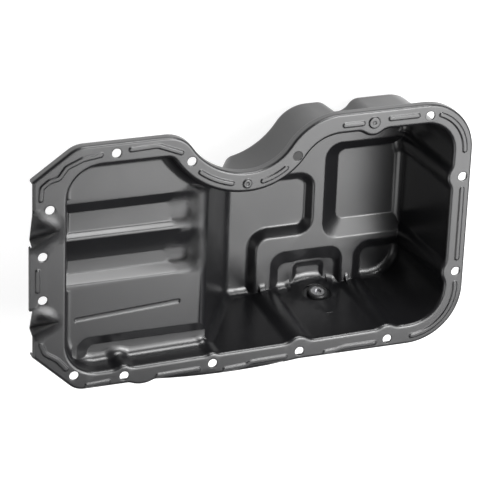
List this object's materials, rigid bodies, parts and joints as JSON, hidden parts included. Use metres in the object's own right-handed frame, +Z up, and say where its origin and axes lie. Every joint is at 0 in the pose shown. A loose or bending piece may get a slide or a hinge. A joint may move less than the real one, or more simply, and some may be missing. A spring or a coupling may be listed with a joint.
{
  "type": "engine oil pan",
  "caption": "Pressed steel engine oil pan with a deep sump, a shallow tray, an arched bolt flange with pressed beads, and a drain plug in the sump wall",
  "frame": {"origin": "centre of the footprint box, on the ground under the sump pads", "axes": "X along the pan, towards the deep end; Y across it, towards the arched side; Z up, out of the mouth towards the engine"},
  "size_m": [0.4332, 0.2515, 0.1064],
  "materials": {
    "oil_pan": "semi-gloss black dip coating on pressed steel",
    "drain_boss": "semi-gloss black dip coating on a welded steel nut",
    "drain_plug": "zinc plated steel",
    "plug_washer": "soft aluminium, plain"
  },
  "bodies": {
    "root": {"oil_pan": "oil_pan", "drain_boss": "drain_boss", "drain_plug": "drain_plug", "plug_washer": "plug_washer"}
  },
  "joints": []
}
